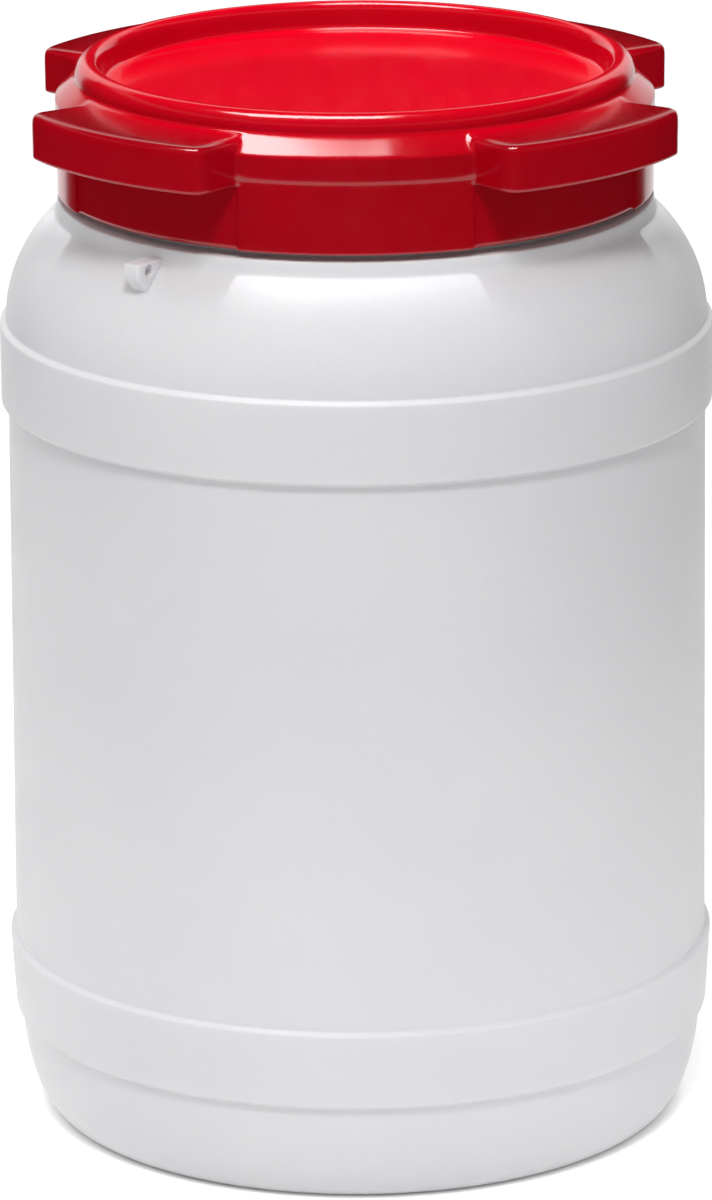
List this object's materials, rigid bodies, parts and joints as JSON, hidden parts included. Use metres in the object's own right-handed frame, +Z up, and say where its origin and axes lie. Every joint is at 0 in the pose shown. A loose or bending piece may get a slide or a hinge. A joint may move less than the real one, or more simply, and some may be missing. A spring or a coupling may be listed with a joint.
{
  "type": "wide-mouth plastic drum",
  "caption": "Wide-mouth plastic drum with raised bands, threaded neck, gasket and a screw lid with grip lugs.",
  "frame": {"origin": "centre of the drum's base, on the surface it stands on", "axes": "+Z up along the drum's axis, the lid's middle full-height stretch faces -Y and the seal eyelet is to its left, towards -X"},
  "size_m": [0.294, 0.294, 0.4458],
  "materials": {
    "white_plastic": "satin white blow-moulded polyethylene",
    "seal_rubber": "matt black sealing rubber",
    "red_plastic": "glossy red injection-moulded plastic"
  },
  "bodies": {
    "drum": {"drum_body": "white_plastic"},
    "seal": {"lid_gasket": "seal_rubber"},
    "lid": {"screw_lid": "red_plastic"}
  },
  "joints": [
    {"name": "lid_rise", "type": "slide", "parent": "drum", "child": "seal", "axis": [0, 0, 1], "range_m": [0, 0.0421]},
    {"name": "lid_turn", "type": "hinge", "parent": "seal", "child": "lid", "pos_m": [0, 0, 0], "axis": [0, 0, 1], "range_deg": [0, 756]}
  ],
  "couplings": [
    {"joint": "lid_rise", "follows": "lid_turn", "m_per_rad": 0.0031831}
  ]
}
